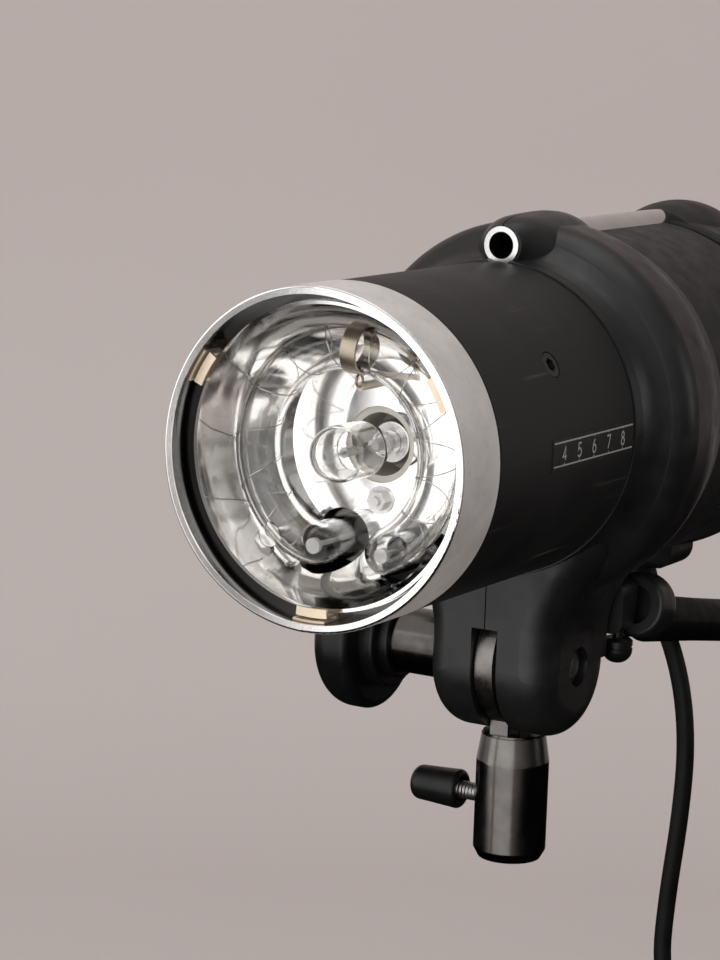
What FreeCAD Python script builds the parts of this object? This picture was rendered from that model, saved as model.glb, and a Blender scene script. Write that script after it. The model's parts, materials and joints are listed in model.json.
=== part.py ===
import FreeCAD, Part
import Sketcher
import math
import os
import re
from FreeCAD import Placement, Rotation, Vector

# A studio flash head on its stand socket: a 100 mm tube with a ring flash tube and a modelling
# lamp in front, held by a two-piece yoke that tilts on a friction disc.  Millimetres, +Z up.
# The origin is the mouth of the stand socket, the socket's axis is Z, the head points to -Y and
# tilts about X.  Head pieces are laid out from the middle of the front rim, +Y to the rear.

DIMENSIONS = [
    # placing
    ("head_height", 149.5), ("rim_ahead", 135), ("tilt_height", 67.5),
    # front collar, body tube and rear shell
    ("collar_radius", 50), ("collar_length", 21.5), ("shadow_gap", 0.8), ("rim_bore", 47.5),
    ("tube_radius", 49.75), ("tube_wall", 2), ("tube_end", 160), ("shell_radius", 57),
    ("shell_wall", 2.5), ("shell_end", 221), ("cap_start", 226), ("cap_radius", 58.4),
    ("cap_end", 286), ("panel_radius", 45),
    # reflector dish and its flat plate
    ("lip_depth", 8.3), ("lip_radius", 45), ("dish_wall", 1), ("plate_depth", 40),
    ("plate_radius", 30.4), ("lamp_hole", 11.5), ("leg_hole", 9),
    # ring flash tube
    ("ring_depth", 21.2), ("ring_radius", 30.8), ("glass_radius", 6.6), ("glass_wall", 1.2),
    ("elbow_radius", 6.9), ("leg_end", 58), ("ring_gap_half", 34.3),
    # modelling lamp
    ("lamp_tip", 8), ("lamp_radius", 8.4), ("lamp_wall", 0.9), ("lamp_base", 46),
    # yoke
    ("ring_front", 110), ("ring_rear", 160), ("crest_radius", 61.7), ("yoke_bore", 49.85),
    ("seam_half", 0.2), ("cheek_radius", 24), ("cheek_half", 22.5), ("cheek_front", 12.8),
    ("slot_half", 4.7), ("slot_top", 13.5), ("bolt_radius", 4), ("running_gap", 0.05),
    # umbrella tube
    ("umbrella_height", 54.8), ("umbrella_radius", 6), ("umbrella_bore", 4.3),
    ("umbrella_front", 111.5), ("umbrella_end", 234),
    # friction joint
    ("disc_radius", 22), ("disc_left", -4.2), ("disc_right", 2.2), ("washer_radius", 20),
    ("sleeve_radius", 11.1), ("sleeve_end", -41.8), ("knob_radius", 25.2), ("knob_end", -66.8),
    # stand socket and its thumb screw
    ("socket_radius", 12.05), ("socket_height", 42.6), ("spigot_radius", 8),
    ("spigot_depth", 32), ("thumb_height", 19.3), ("stud_radius", 3), ("thumb_gap", 6.4),
    # handle
    ("handle_side", 24.5), ("handle_start", 170.5), ("handle_drop", -67), ("handle_slope", 10.5),
    ("handle_length", 120), ("handle_radius", 8.1), ("handle_step", 4.4),
    # cable
    ("cable_radius", 3.2), ("cable_depth", 235), ("cable_side", -3.5), ("block_bottom", -66.5),
    ("block_left", -16), ("block_right", 12),
    ("coil_radius", 42), ("coil_half", 13.6),
]

doc = FreeCAD.newDocument("flash_head")
sheet = doc.addObject("Spreadsheet::Sheet", "dims")
for row, (alias, value) in enumerate(DIMENSIONS, 1):
    sheet.set("A%d" % row, alias)
    sheet.set("B%d" % row, str(value))
    sheet.setAlias("B%d" % row, alias)
doc.recompute()

WORDS = re.compile(r"\b(%s)\b" % "|".join(alias for alias, _ in DIMENSIONS))
SEATS = {
    "stand": ("0", "0", "0"),
    "tilt": ("0", "0", "tilt_height"),
    "head": ("0", "-rim_ahead", "head_height"),
}
ALONG_X = Rotation(Vector(0, 1, 0), 90)
ALONG_Y = Rotation(Vector(1, 0, 0), -90)
ALONG_Z = Rotation()
nodes = []


def formula(text):
    """A sheet formula with each alias written as dims.alias."""
    return WORDS.sub(r"dims.\1", str(text))


def size(text):
    """The number that a sheet formula stands for."""
    return float(sheet.evalExpression(formula(text)))


def bind(obj, prop, text):
    obj.setExpression(prop, formula(text))


def place(obj, where=(0, 0, 0), turn=ALONG_Z, seat="head"):
    """Put an object at a point of its seat's frame, with the point bound to the sheet."""
    obj.Placement = Placement(Vector(), turn)
    for axis, here, base in zip("xyz", where, SEATS[seat]):
        bind(obj, "Placement.Base." + axis, "(%s) + (%s)" % (base, here))
    return obj


def node(obj, label):
    """Name a finished sub-part, which is written to a file of that name."""
    obj.Label = label
    nodes.append(obj)
    return obj


def solid(kind, name, sizes, where=(0, 0, 0), turn=ALONG_Z, seat="head"):
    """A primitive whose sizes and place are bound to the sheet."""
    obj = doc.addObject("Part::" + kind, name)
    for prop, text in sizes.items():
        bind(obj, prop, text)
    return place(obj, where, turn, seat)


def rod(name, radius, length, where, turn=ALONG_Y, seat="head"):
    return solid("Cylinder", name, {"Radius": radius, "Height": length}, where, turn, seat)


def block(name, x, y, z, seat="head"):
    """A box from three (low, high) pairs."""
    sizes = {
        prop: "(%s) - (%s)" % (high, low)
        for prop, (low, high) in zip(("Length", "Width", "Height"), (x, y, z))
    }
    return solid("Box", name, sizes, (x[0], y[0], z[0]), ALONG_Z, seat)


def fuse(name, *shapes):
    obj = doc.addObject("Part::MultiFuse", name)
    obj.Shapes = list(shapes)
    return obj


def common(name, *shapes):
    obj = doc.addObject("Part::MultiCommon", name)
    obj.Shapes = list(shapes)
    return obj


def cut(name, base, *tools):
    obj = doc.addObject("Part::Cut", name)
    obj.Base = base
    obj.Tool = tools[0] if len(tools) == 1 else fuse(name + "_tools", *tools)
    return obj


def fixed(name, shape, seat="head"):
    """A shape built in code from the sheet's sizes, placed on its seat."""
    obj = doc.addObject("Part::Feature", name)
    obj.Shape = shape
    return place(obj, seat=seat)


def outline_sketch(body, name, points, plane):
    """A closed outline whose corners are bound to the sheet."""
    sketch = body.newObject("Sketcher::SketchObject", name)
    origin = next(o for o in body.Origin.OriginFeatures if o.Role == plane)
    sketch.AttachmentSupport = [(origin, "")]
    sketch.MapMode = "FlatFace"
    corners = [Vector(size(u), size(v), 0) for u, v in points]
    for start, end in zip(corners, corners[1:] + corners[:1]):
        sketch.addGeometry(Part.LineSegment(start, end), False)
    for i, (u, v) in enumerate(points):
        sketch.addConstraint(Sketcher.Constraint("Coincident", i, 2, (i + 1) % len(points), 1))
    for i, (u, v) in enumerate(points):
        for kind, text in (("DistanceX", u), ("DistanceY", v)):
            index = sketch.addConstraint(Sketcher.Constraint(kind, -1, 1, i, 1, size(text)))
            bind(sketch, "Constraints[%d]" % index, text)
    return sketch


def turned(name, axis, outline, rounds=(), seat="head", where=(0, 0, 0), turn=ALONG_Z, angle=360):
    """A turned piece: outline lists (along the axis, radius), rounds lists (corner, radius)."""
    body = doc.addObject("PartDesign::Body", name)
    points = outline if axis == "X" else [(radius, along) for along, radius in outline]
    plane = "XZ_Plane" if axis == "Z" else "XY_Plane"
    sketch = outline_sketch(body, name + "_outline", points, plane)
    feature = body.newObject("PartDesign::Revolution", name + "_turned")
    feature.Profile = sketch
    feature.ReferenceAxis = (sketch, ["H_Axis" if axis == "X" else "V_Axis"])
    feature.Angle = angle
    feature.Midplane = angle != 360
    doc.recompute()
    for corner, radius in rounds:
        feature = round_corner(body, feature, axis, outline[corner], radius)
    return place(body, where, turn, seat)


def round_corner(body, feature, axis, corner, radius):
    """Fillet the circular edge that one outline corner sweeps."""
    along, reach = size(corner[0]), size(corner[1])
    direction = {"X": 0, "Y": 1, "Z": 2}[axis]
    edges = [
        "Edge%d" % i
        for i, edge in enumerate(feature.Shape.Edges, 1)
        if isinstance(edge.Curve, Part.Circle)
        and abs(edge.Curve.Radius - reach) < 1e-4
        and abs(edge.Curve.Center[direction] - along) < 1e-4
    ]
    fillet = body.newObject("PartDesign::Fillet", body.Name + "_round")
    fillet.Base = (feature, edges)
    bind(fillet, "Radius", radius)
    doc.recompute()
    return fillet


def hexagon(name, across, length, where, turn, seat="head"):
    prism = doc.addObject("Part::Prism", name)
    prism.Polygon = 6
    bind(prism, "Circumradius", "(%s) / 3 ^ 0.5" % across)
    bind(prism, "Height", length)
    return place(prism, where, turn, seat)


def hollow_rod(name, radius, bore, length, where, turn=ALONG_Y, seat="head"):
    outer = rod(name + "_outer", radius, length, where, turn, seat)
    inner = rod(name + "_bore", bore, length, where, turn, seat)
    return cut(name, outer, inner)


def polar(radius, degrees):
    """X and Z formulas of a point at an angle above +X, seen from the front."""
    return (
        "(%s) * cos(%g deg)" % (radius, degrees),
        "(%s) * sin(%g deg)" % (radius, degrees),
    )


# ---------------------------------------------------------------- tube and front

def front_collar():
    outline = [
        (0, "rim_bore"), (0, "collar_radius"), ("collar_length", "collar_radius"),
        ("collar_length", "tube_radius - 0.7"),
        ("collar_length + shadow_gap", "tube_radius - 0.7"),
        ("collar_length + shadow_gap", "tube_radius - tube_wall"),
        ("collar_length + 8", "tube_radius - tube_wall"), ("collar_length + 8", "46"),
        ("13.6", "46"), ("13.6", "45.3"), ("10.5", "45.3"), ("10.5", "rim_bore"),
    ]
    node(turned("collar", "Y", outline, [(1, "0.8"), (2, "0.4")]), "front_collar")


SCREW_DEPTH, SCREW_ANGLES = 65, (30.9, 150.9, 270.9)


def radial(degrees):
    """The rotation that lays a piece's Z axis along a radius of the head."""
    return Rotation(Vector(0, 1, 0), 90 - degrees)


def body_tube():
    outline = [
        ("collar_length + shadow_gap", "tube_radius - tube_wall"),
        ("collar_length + shadow_gap", "tube_radius"),
        ("tube_end + 3", "tube_radius"), ("tube_end + 3", "tube_radius - tube_wall"),
    ]
    shell = turned("tube_shell", "Y", outline, [(1, "0.4")])
    holes = []
    for i, angle in enumerate(SCREW_ANGLES, 1):
        x, z = polar("tube_radius - 4", angle)
        holes.append(rod("screw_hole_%d" % i, "4.3", "8", (x, SCREW_DEPTH, z), radial(angle)))
    groove = rod("tube_umbrella_groove", "umbrella_radius + 0.02", "70",
                 (0, "umbrella_front - 0.3", "umbrella_height"))
    node(cut("tube", shell, groove, *holes), "body_tube")
    for i, angle in enumerate(SCREW_ANGLES, 1):
        x, z = polar("tube_radius - 5", angle)
        head = rod("screw_head_%d" % i, "3.95", "4.75", (x, SCREW_DEPTH, z), radial(angle))
        x, z = polar("tube_radius - 2", angle)
        key = hexagon("screw_key_%d" % i, "4", "4", (x, SCREW_DEPTH, z), radial(angle))
        node(cut("screw_%d" % i, head, key), "body_screw_%d" % i)


def scale_plate():
    """The curved distance scale on the +X side of the tube."""
    band = hollow_rod("plate_band", "tube_radius + 0.25", "tube_radius", "54",
                      (0, "54.6", 0))
    strip = block("plate_strip", ("40", "55"), ("54", "109"), ("-4.9", "4.9"))
    node(common("plate", band, strip), "scale_plate")


def rear_shell():
    outline = [
        ("tube_end", "tube_radius + 0.1"), ("tube_end", "shell_radius"),
        ("shell_end", "shell_radius"), ("shell_end", "shell_radius - shell_wall"),
        ("tube_end + 3", "shell_radius - shell_wall"), ("tube_end + 3", "tube_radius + 0.1"),
    ]
    shell = turned("shell_blank", "Y", outline)
    groove = rod("shell_umbrella_groove", "umbrella_radius + 0.02", "80",
                 (0, "tube_end - 5", "umbrella_height"))
    x, z = polar("shell_radius - 1.5", -36)
    pit = rod("shell_pit", "2", "4", (x, "187", z), radial(-36))
    node(cut("shell", shell, groove, pit), "rear_shell")


# Rear controls, at X and Z in the panel's plane
ROCKER_TILT = 8
FAN_Z, ROCKER, BUTTON, READY, FUSE = 12, (-17, -30), (2, -31), (12, -31), (22.5, -27)


def rear_cap():
    outline = [
        ("shell_end - 6", "51.4"), ("shell_end - 6", "shell_radius - shell_wall - 0.1"),
        ("cap_start", "shell_radius - shell_wall - 0.1"), ("cap_start", "cap_radius"),
        ("cap_start + 34", "cap_radius - 1.6"), ("cap_end", "panel_radius + 5"),
        ("cap_end", "panel_radius - 1.5"), ("cap_end - 2", "panel_radius - 1.5"),
        ("cap_end - 2", "panel_radius + 1.6"), ("cap_start + 34", "51.4"),
    ]
    shell = turned("cap_shell", "Y", outline, [(3, "2"), (4, "10"), (5, "4")])
    hump = fixed("cap_hump", saddle([
        (size("cap_start + 0.6"), 40, 20.4), (234, 40, 22.2), (257, 40, 22), (277, 38, 15),
    ]))
    hump_bore = rod("cap_hump_bore", "51.4", "60", (0, "cap_start", 0))
    tube_hole = rod("cap_tube_hole", "umbrella_radius + 0.02", "umbrella_end - shell_end + 7",
                    (0, "shell_end - 7", "umbrella_height"))
    node(cut("cap", fuse("cap_blank", shell, cut("cap_hump_cut", hump, hump_bore)), tube_hole),
         "rear_cap")


def rear_panel():
    disc = rod("panel_disc", "panel_radius + 1.4", "3", (0, "cap_end - 5.2", 0))
    cuts = [
        rod("fan_hole", "29", "8", (0, "cap_end - 8", FAN_Z)),
        block("rocker_hole", (ROCKER[0] - 7.2, ROCKER[0] + 7.2), ("cap_end - 8", "cap_end"),
              (ROCKER[1] - 5.2, ROCKER[1] + 5.2)),
        rod("rocker_pivot_hole", "1.2 + running_gap", "12.4",
            (ROCKER[0], "cap_end - 3.7", ROCKER[1] - 6.2), ALONG_Z),
        rod("button_hole", "3.75", "8", (BUTTON[0], "cap_end - 8", BUTTON[1])),
        rod("ready_hole", "2.5", "8", (READY[0], "cap_end - 8", READY[1])),
        rod("fuse_hole", "5.5", "8", (FUSE[0], "cap_end - 8", FUSE[1])),
    ]
    node(cut("panel", disc, *cuts), "rear_panel")


def fan():
    """Guard, frame and a seven-blade rotor behind the rear panel."""
    rings = [
        hollow_rod("guard_ring_%d" % i, radius + 0.9, radius - 0.9, "1.8",
                   (0, "cap_end - 5", FAN_Z))
        for i, radius in enumerate((28.05, 22, 16), 1)
    ]
    hub = rod("guard_hub", "9", "1.8", (0, "cap_end - 5", FAN_Z))
    spokes = []
    for i in range(4):
        spoke = solid("Box", "guard_spoke_%d" % i,
                      {"Length": "56", "Width": "1.8", "Height": "2"})
        turn = Rotation(Vector(0, 1, 0), 45 * i)
        corner = turn.multVec(Vector(-28, 0, -1))
        place(spoke, (corner.x, "cap_end - 5", FAN_Z + corner.z), turn)
        spokes.append(spoke)
    node(fuse("guard", hub, *rings, *spokes), "fan_guard")
    frame = hollow_rod("frame", "31", "28.5", "18", (0, "cap_end - 24", FAN_Z))
    axle = rod("fan_axle_rod", "1.5", "8", (0, "cap_end - 23", FAN_Z))
    bars = [
        block("fan_bar_x", (-29, 29), ("cap_end - 23.6", "cap_end - 21.6"),
              (FAN_Z - 1.5, FAN_Z + 1.5)),
        block("fan_bar_z", (-1.5, 1.5), ("cap_end - 23.6", "cap_end - 21.6"),
              (FAN_Z - 29, FAN_Z + 29)),
    ]
    node(fuse("fan_housing", frame, axle, *bars), "fan_frame")
    blades = []
    for i in range(7):
        blade = solid("Box", "fan_blade_%d" % i,
                      {"Length": "17.5", "Width": "1.2", "Height": "9"})
        turn = Rotation(Vector(0, 1, 0), 360 * i / 7) * Rotation(Vector(1, 0, 0), 48)
        corner = turn.multVec(Vector(9.5, -0.6, -4.5))
        place(blade, (corner.x, "%g + cap_end - 13" % corner.y, FAN_Z + corner.z), turn)
        blades.append(blade)
    hub = rod("fan_hub", "10.5", "10", (0, "cap_end - 18", FAN_Z))
    bore = rod("fan_bore", "1.5 + running_gap", "5", (0, "cap_end - 18.5", FAN_Z))
    node(cut("rotor", fuse("rotor_blank", hub, *blades), bore), "fan_rotor")


def rear_controls():
    rocker = block("rocker_block", (ROCKER[0] - 6.8, ROCKER[0] + 6.8),
                   ("cap_end - 9", "cap_end - 1.4"), (ROCKER[1] - 4.8, ROCKER[1] + 4.8))
    dip = rod("rocker_dip", "22", "20", (ROCKER[0], "cap_end + 19.2", ROCKER[1] - 10), ALONG_Z)
    pivot_pin = rod("rocker_pivot", "1.2", "11", (ROCKER[0], "cap_end - 3.7", ROCKER[1] - 5.5),
                    ALONG_Z)
    switch = cut("rocker", fuse("rocker_pinned", rocker, pivot_pin), dip)
    pivot = Vector(ROCKER[0], size("cap_end - 3.7 - rim_ahead"), ROCKER[1] + size("head_height"))
    switch.Placement = Placement(Vector(), Rotation(Vector(0, 0, 1), -ROCKER_TILT), pivot)
    node(switch, "rocker_switch")
    cap = rod("button_cap", "3.4", "9", (BUTTON[0], "cap_end - 10", BUTTON[1]))
    flange = rod("button_flange", "4.6", "1", (BUTTON[0], "cap_end - 10", BUTTON[1]))
    node(fuse("button", cap, flange), "test_button")
    lens = turned("lens", "Y", [
        (0, "0"), (0, "2.5"), (3.2, "2.5"), (5.4, "1.2"), (5.4, "0"),
    ], where=(READY[0], "cap_end - 5.2", READY[1]))
    node(lens, "ready_lamp")
    holder = turned("fuse_cap", "Y", [
        (-12, "0"), (-12, "5.4"), (3, "5.4"), (3, "7"), (7, "6.6"), (7, "0"),
    ], where=(FUSE[0], "cap_end - 5.2", FUSE[1]))
    slot = block("fuse_slot", (FUSE[0] - 5, FUSE[0] + 5), ("cap_end + 0.6", "cap_end + 3"),
                 (FUSE[1] - 0.6, FUSE[1] + 0.6))
    node(cut("fuse", holder, slot), "fuse_holder")


# ---------------------------------------------------------------- reflector dish and lamps

def leg_spot(side):
    """Where a leg of the ring tube goes back through the plate, as X and Z formulas."""
    x = "ring_radius * sin(ring_gap_half * 1 deg) - elbow_radius * cos(ring_gap_half * 1 deg)"
    z = "-ring_radius * cos(ring_gap_half * 1 deg) - elbow_radius * sin(ring_gap_half * 1 deg)"
    return "%d * (%s)" % (side, x), z


def leg_cuts(name):
    return [
        rod("%s_leg_%d" % (name, side + 1), "leg_hole", "30", (leg_spot(side)[0], "25",
            leg_spot(side)[1]))
        for side in (-1, 1)
    ]


RIVET = (-27, -28.2)


def dish_shape():
    """The dish and its rolled lip, turned from an outline with one long arc on each face."""
    lip, wall = size("lip_radius"), size("dish_wall")
    front, back = size("lip_depth"), size("plate_depth")
    inner = [Vector(lip - wall, front, 0), Vector(lip - wall - 0.8, 14, 0)]
    edge, bulge = Vector(size("plate_radius"), back, 0), Vector(39.3, 27.5, 0)
    outer_edge, outer_bulge = edge + Vector(1.4, 1, 0), bulge + Vector(0.9, 0.7, 0)
    outer = [Vector(lip, 14.6, 0), Vector(lip, front, 0)]
    curves = [
        Part.LineSegment(inner[0], inner[1]), Part.Arc(inner[1], bulge, edge),
        Part.LineSegment(edge, edge + Vector(0, 1, 0)),
        Part.LineSegment(edge + Vector(0, 1, 0), outer_edge),
        Part.Arc(outer_edge, outer_bulge, outer[0]), Part.LineSegment(outer[0], outer[1]),
        Part.LineSegment(outer[1], inner[0]),
    ]
    face = Part.Face(Part.Wire([curve.toShape() for curve in curves]))
    return face.revolve(Vector(), Vector(0, 1, 0), 360)


def reflector():
    """The polished dish with its rolled lip, and the flat plate that closes it."""
    dish = fixed("dish_blank", dish_shape())
    flange = hollow_rod("dish_flange", "lip_radius + 0.8", "lip_radius - 0.2", "0.9",
                        (0, "13.7", 0))
    dish = fuse("dish_flanged", dish, flange)
    rivet_hole = rod("rivet_hole", "2.2", "20", (RIVET[0], "20", RIVET[1]))
    rivet_seat = rod("rivet_seat", "3.5", "4", (RIVET[0], "19.9", RIVET[1]))
    node(cut("dish", dish, rivet_hole, rivet_seat, *leg_cuts("dish")), "reflector_dish")
    plate = rod("plate_disc", "plate_radius", "1", (0, "plate_depth", 0))
    hole = rod("plate_hole", "lamp_hole", "3", (0, "plate_depth - 1", 0))
    stud = rod("plate_stud_hole", "1.6", "3", (0.9, "plate_depth - 1", -16.6))
    node(cut("mirror", plate, hole, stud, *leg_cuts("mirror")), "mirror_plate")
    washer = rod("nut_washer", "4.2", "0.8", (0.9, "plate_depth - 0.8", -16.6))
    nut = hexagon("nut_hex", "5.5", "2.6", (0.9, "plate_depth - 3.4", -16.6), ALONG_Y)
    stem = rod("nut_stem", "1.5", "14", (0.9, "plate_depth - 4.4", -16.6))
    node(fuse("stud_nut", washer, nut, stem), "plate_stud_nut")
    shank = rod("rivet_shank", "2.1", "11", (RIVET[0], "22.6", RIVET[1]))
    head = rod("rivet_head", "3.4", "1.2", (RIVET[0], "22.6", RIVET[1]))
    node(fuse("rivet", shank, head), "dish_rivet")


def cover_clips():
    """Three spring clips in the channel round the dish, where a glass cover would sit."""
    leaf = [
        ("10.4", "45.3"), ("10.4", "rim_bore - 0.1"), ("2.2", "rim_bore - 0.1"),
        ("2.2", "46.7"), ("8.8", "46.7"), ("8.8", "46.1"), ("3.6", "46.1"), ("3.6", "43.4"),
        ("4.5", "43.4"), ("4.5", "45.3"),
    ]
    for i, angle in enumerate((150, 30, -90), 1):
        clip = turned("clip_%d" % i, "Y", leaf, angle=13,
                      turn=Rotation(Vector(0, 1, 0), -angle))
        node(clip, "cover_clip_%d" % i)


def ring_path(depth):
    """The middle line of the ring tube: leg, elbow, ring, elbow, leg."""
    radius, elbow, half = size("ring_radius"), size("elbow_radius"), size("ring_gap_half")
    end = size("leg_end")
    rise = math.sin(math.radians(45))
    path = []
    for side in (1, -1):
        angle = math.radians(-90 + side * half)
        join = Vector(radius * math.cos(angle), depth, radius * math.sin(angle))
        tangent = Vector(side * math.sin(angle), 0, -side * math.cos(angle))
        centre = join + Vector(0, elbow, 0)
        middle = centre + tangent * (elbow * rise) - Vector(0, elbow * rise, 0)
        corner = centre + tangent * elbow
        foot = Vector(corner.x, end, corner.z)
        path.append((Part.LineSegment(foot, corner), Part.Arc(corner, middle, join), join))
    top = Vector(0, depth, radius)
    ring = Part.Arc(path[0][2], top, path[1][2])
    edges = [path[0][0], path[0][1], ring, path[1][1], path[1][0]]
    return Part.Wire(Part.__sortEdges__([edge.toShape() for edge in edges]))


def swept(path, radius):
    """A round bar along a path that starts at one of its ends."""
    start = path.OrderedVertexes[0].Point
    edge = path.OrderedEdges[0]
    low = edge.FirstParameter
    tangent = edge.tangentAt(low)
    profile = Part.Wire(Part.makeCircle(radius, start, tangent))
    return path.makePipeShell([profile], True, False)


def flash_tube():
    path = ring_path(size("ring_depth"))
    glass = size("glass_radius")
    tube = swept(path, glass).cut(swept(path, glass - size("glass_wall")))
    node(fixed("flash_tube_shape", tube), "flash_tube")
    for side, word in ((-1, "left"), (1, "right")):
        x, z = leg_spot(side)
        tip = rod("tip_" + word, "2.3", "1.6", (x, "ring_depth + 1", z))
        stem = rod("stem_" + word, "0.8", "leg_end - ring_depth - 3", (x, "ring_depth + 2", z))
        plug = rod("plug_" + word, "glass_radius - glass_wall", "4", (x, "leg_end - 4", z))
        node(fuse("electrode_" + word, tip, stem, plug), "electrode_%s_post" % word)
        socket = hollow_rod("socket_" + word, "8.3", "glass_radius", "16",
                            (x, "leg_end - 12", z))
        node(socket, "tube_socket_" + word)


def tube_clip():
    """A band round the top of the ring tube, with the spring hook that pulls it back."""
    band = doc.addObject("Part::Feature", "clip_band")
    outer, inner = size("glass_radius + 0.95"), size("glass_radius + 0.15")
    spot = Vector(3.2, size("ring_depth"), math.sqrt(size("ring_radius") ** 2 - 3.2 ** 2))
    axis = Vector(1, 0, -3.2 / spot.z)
    band.Shape = Part.makeCylinder(outer, 5, spot - axis * 2.5, axis).cut(
        Part.makeCylinder(inner, 7, spot - axis * 3.5, axis))
    place(band)
    hook = solid("Torus", "clip_hook", {"Radius1": "1.8", "Radius2": "0.4"},
                 (3.2, "ring_depth", "ring_radius - glass_radius - 2.9"), ALONG_X)
    spring = rod("clip_spring", "1.3", "plate_depth - ring_depth - 0.4",
                 (3.2, "ring_depth + 0.4", "ring_radius - glass_radius - 4.7"))
    node(fuse("clip", band, hook, spring), "tube_clip")


def modelling_lamp():
    """Glass envelope, filament on its stem, metal cap and the ceramic holder."""
    tip, base, wall = "lamp_tip", "lamp_base", "lamp_wall"
    outer = [(tip, "0"), (tip, "lamp_radius"), ("29", "lamp_radius"), ("41", "4.2"),
             (base, "3.8"), (base, "3.8 - lamp_wall"), ("41.2", "4.1 - lamp_wall"),
             ("29.2", "lamp_radius - lamp_wall"), ("lamp_tip + lamp_wall",
             "lamp_radius - lamp_wall"), ("lamp_tip + lamp_wall", "0")]
    node(turned("lamp", "Y", outer, [(1, "7.8"), (8, "6.9"), (2, "6"), (3, "3")]), "lamp_glass")
    stem = [("15", "0"), ("15", "0.5"), ("19", "0.5"), ("19", "1.5"), ("27", "1.5"),
            ("27", "0.5"), ("33", "0.5"), ("35", "1.9"), (base, "1.9"), (base, "0")]
    node(turned("stem", "Y", stem), "lamp_filament_stem")
    cap = [(base, "0"), (base, "6.8"), ("lamp_base + 18", "6.8"), ("lamp_base + 21", "3"),
           ("lamp_base + 21", "0")]
    node(turned("lamp_cap_shape", "Y", cap, [(1, "1")]), "lamp_cap")
    holder = [("plate_depth + 1", "9.5"), ("plate_depth + 1", "lamp_hole + 1.5"),
              ("68", "lamp_hole + 1.5"), ("68", "6.85"), ("56", "6.85"), ("56", "9.5")]
    node(turned("holder", "Y", holder), "lamp_socket")


def inner_works():
    """Carrier disc, trigger transformer and circuit board inside the tube."""
    disc = rod("carrier_disc", "tube_radius - tube_wall - 0.1", "3", (0, "70", 0))
    posts = [
        rod("post_%d" % i, "2.5", "30", (x, "plate_depth + 1", z))
        for i, (x, z) in enumerate(((-24, 14), (24, 14), (0, 29)), 1)
    ]
    node(fuse("carrier", disc, *posts), "lamp_carrier")
    node(block("transformer", (-19, 19), ("82", "118"), (-34, -4)), "trigger_transformer")
    node(block("board", (-36, 36), ("80", "150"), (-1.4, 0.2)), "circuit_board")


# ---------------------------------------------------------------- yoke

def neck_section(height, front, side, reach):
    """One level of the neck: a flat front, broad front corners and small rear ones."""
    ahead = size("rim_ahead")
    low, high = ahead - size("cheek_radius"), ahead + reach
    depth = (side - front) * 1.05
    bulge = 1 - math.sqrt(0.5)
    rear = 5
    corner = (side - (side - front) * bulge, low + depth * bulge)
    right = [
        Part.Arc(Vector(front, low, height), Vector(corner[0], corner[1], height),
                 Vector(side, low + depth, height)),
        Part.LineSegment(Vector(side, low + depth, height), Vector(side, high - rear, height)),
        Part.Arc(Vector(side, high - rear, height),
                 Vector(side - rear * bulge, high - rear * bulge, height),
                 Vector(side - rear, high, height)),
    ]
    mirror = [
        Part.LineSegment(Vector(side - rear, high, height), Vector(rear - side, high, height)),
        Part.Arc(Vector(rear - side, high, height),
                 Vector(rear * bulge - side, high - rear * bulge, height),
                 Vector(-side, high - rear, height)),
        Part.LineSegment(Vector(-side, high - rear, height), Vector(-side, low + depth, height)),
        Part.Arc(Vector(-side, low + depth, height), Vector(-corner[0], corner[1], height),
                 Vector(-front, low, height)),
        Part.LineSegment(Vector(-front, low, height), Vector(front, low, height)),
    ]
    return Part.Wire([curve.toShape() for curve in right + mirror])


def neck_shape():
    """The neck flares from the cheeks up into the ring."""
    pivot = size("tilt_height - head_height")
    front, side = size("cheek_front"), size("cheek_half")
    reach = size("cheek_radius")
    levels = [
        (pivot, front, side), (pivot + 12, front, side + 0.2), (-58, 15.6, 26.5),
        (-48, 21, 33.5), (-38, 26, 39), (-30, 28, 40.5),
    ]
    upper = Part.makeLoft([neck_section(z, f, s, reach) for z, f, s in levels], True)
    foot = Part.Face(neck_section(pivot, front, side, reach)).extrude(Vector(0, 0, -reach - 1))
    return upper, foot


def saddle(rounds):
    """A smooth hump through circles, each given by its Y, its centre's height and its radius."""
    return Part.makeLoft([
        Part.Wire(Part.makeCircle(radius, Vector(0, y, z), Vector(0, 1, 0)))
        for y, z, radius in rounds
    ], True)


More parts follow.
